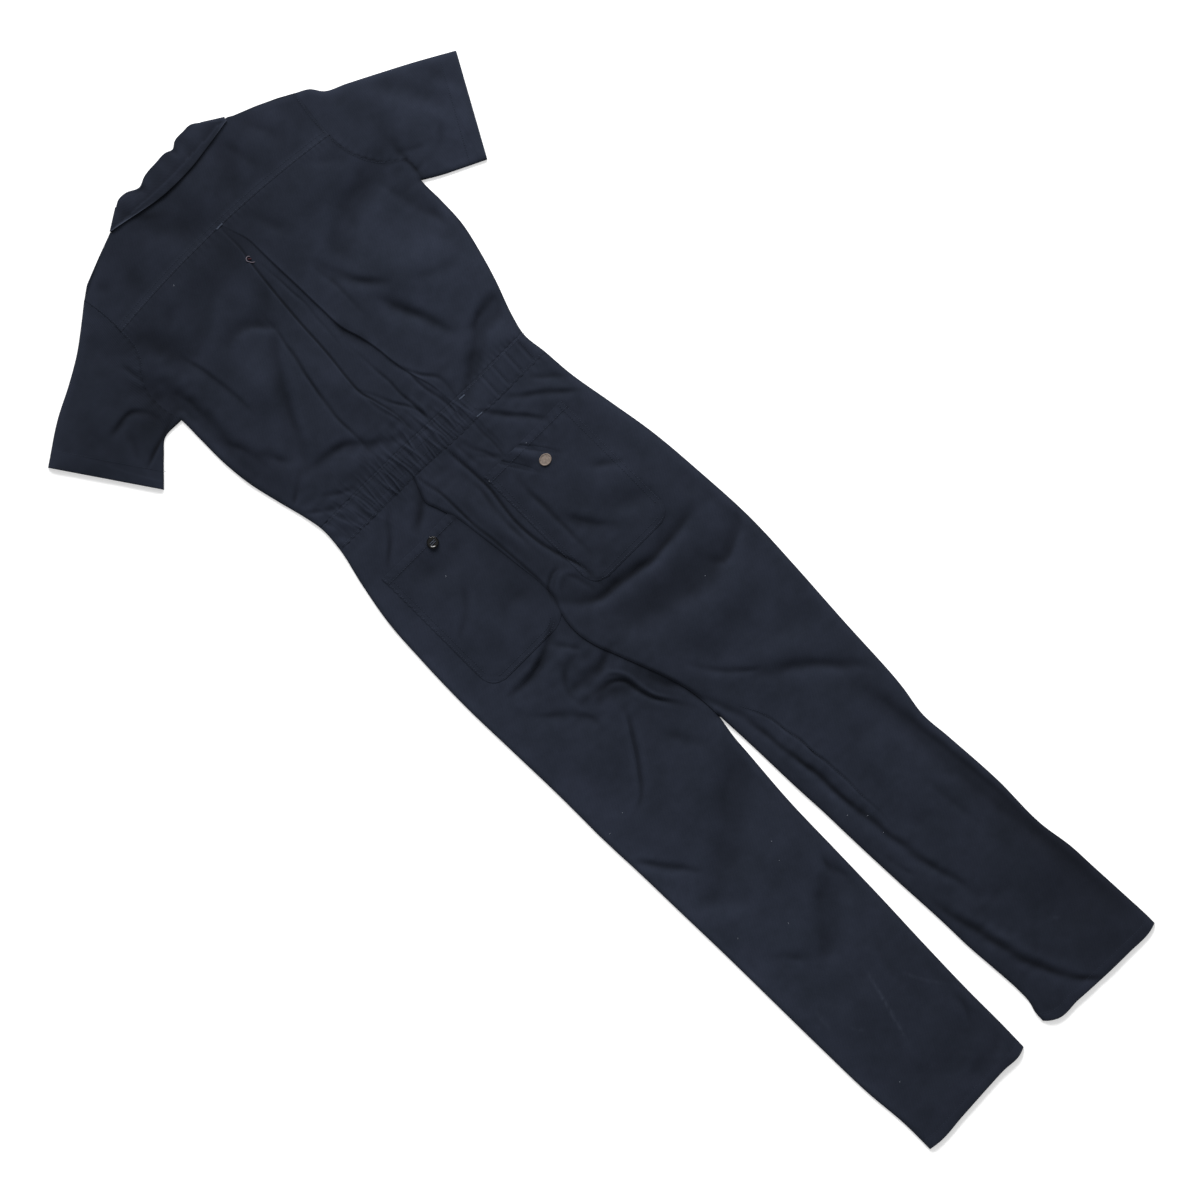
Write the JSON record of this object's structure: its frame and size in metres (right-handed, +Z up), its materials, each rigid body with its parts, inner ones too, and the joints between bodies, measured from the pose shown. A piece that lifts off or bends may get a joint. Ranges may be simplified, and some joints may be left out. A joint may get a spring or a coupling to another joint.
{
  "type": "short-sleeved coverall",
  "caption": "Short-sleeved coverall laid flat and face down, with a shirt collar, back yoke, inverted pleat, elasticated waist, patch back pockets and straight legs.",
  "frame": {"origin": "centre of the garment's bounding box, on the surface it lies on", "axes": "+X towards the wearer's right, +Y towards the collar, +Z up out of the back, which lies uppermost"},
  "size_m": [0.712, 1.521, 0.0105],
  "materials": {
    "twill": "matt near-black navy cotton twill",
    "button": "black, satin, four holes",
    "patch": "dull beige, bare"
  },
  "bodies": {
    "root": {"back_yoke": "twill", "upper_back": "twill", "back_waistband": "twill", "back_leg_left": "twill", "back_leg_right": "twill", "back_pocket_left": "twill", "back_pocket_right": "twill", "sleeve_left": "twill", "sleeve_right": "twill", "collar": "twill", "front_left": "twill", "front_right": "twill", "front_band_left": "twill", "front_band_right": "twill", "front_leg_left": "twill", "front_leg_right": "twill", "pocket_button": "button", "pocket_patch": "patch"}
  },
  "joints": []
}
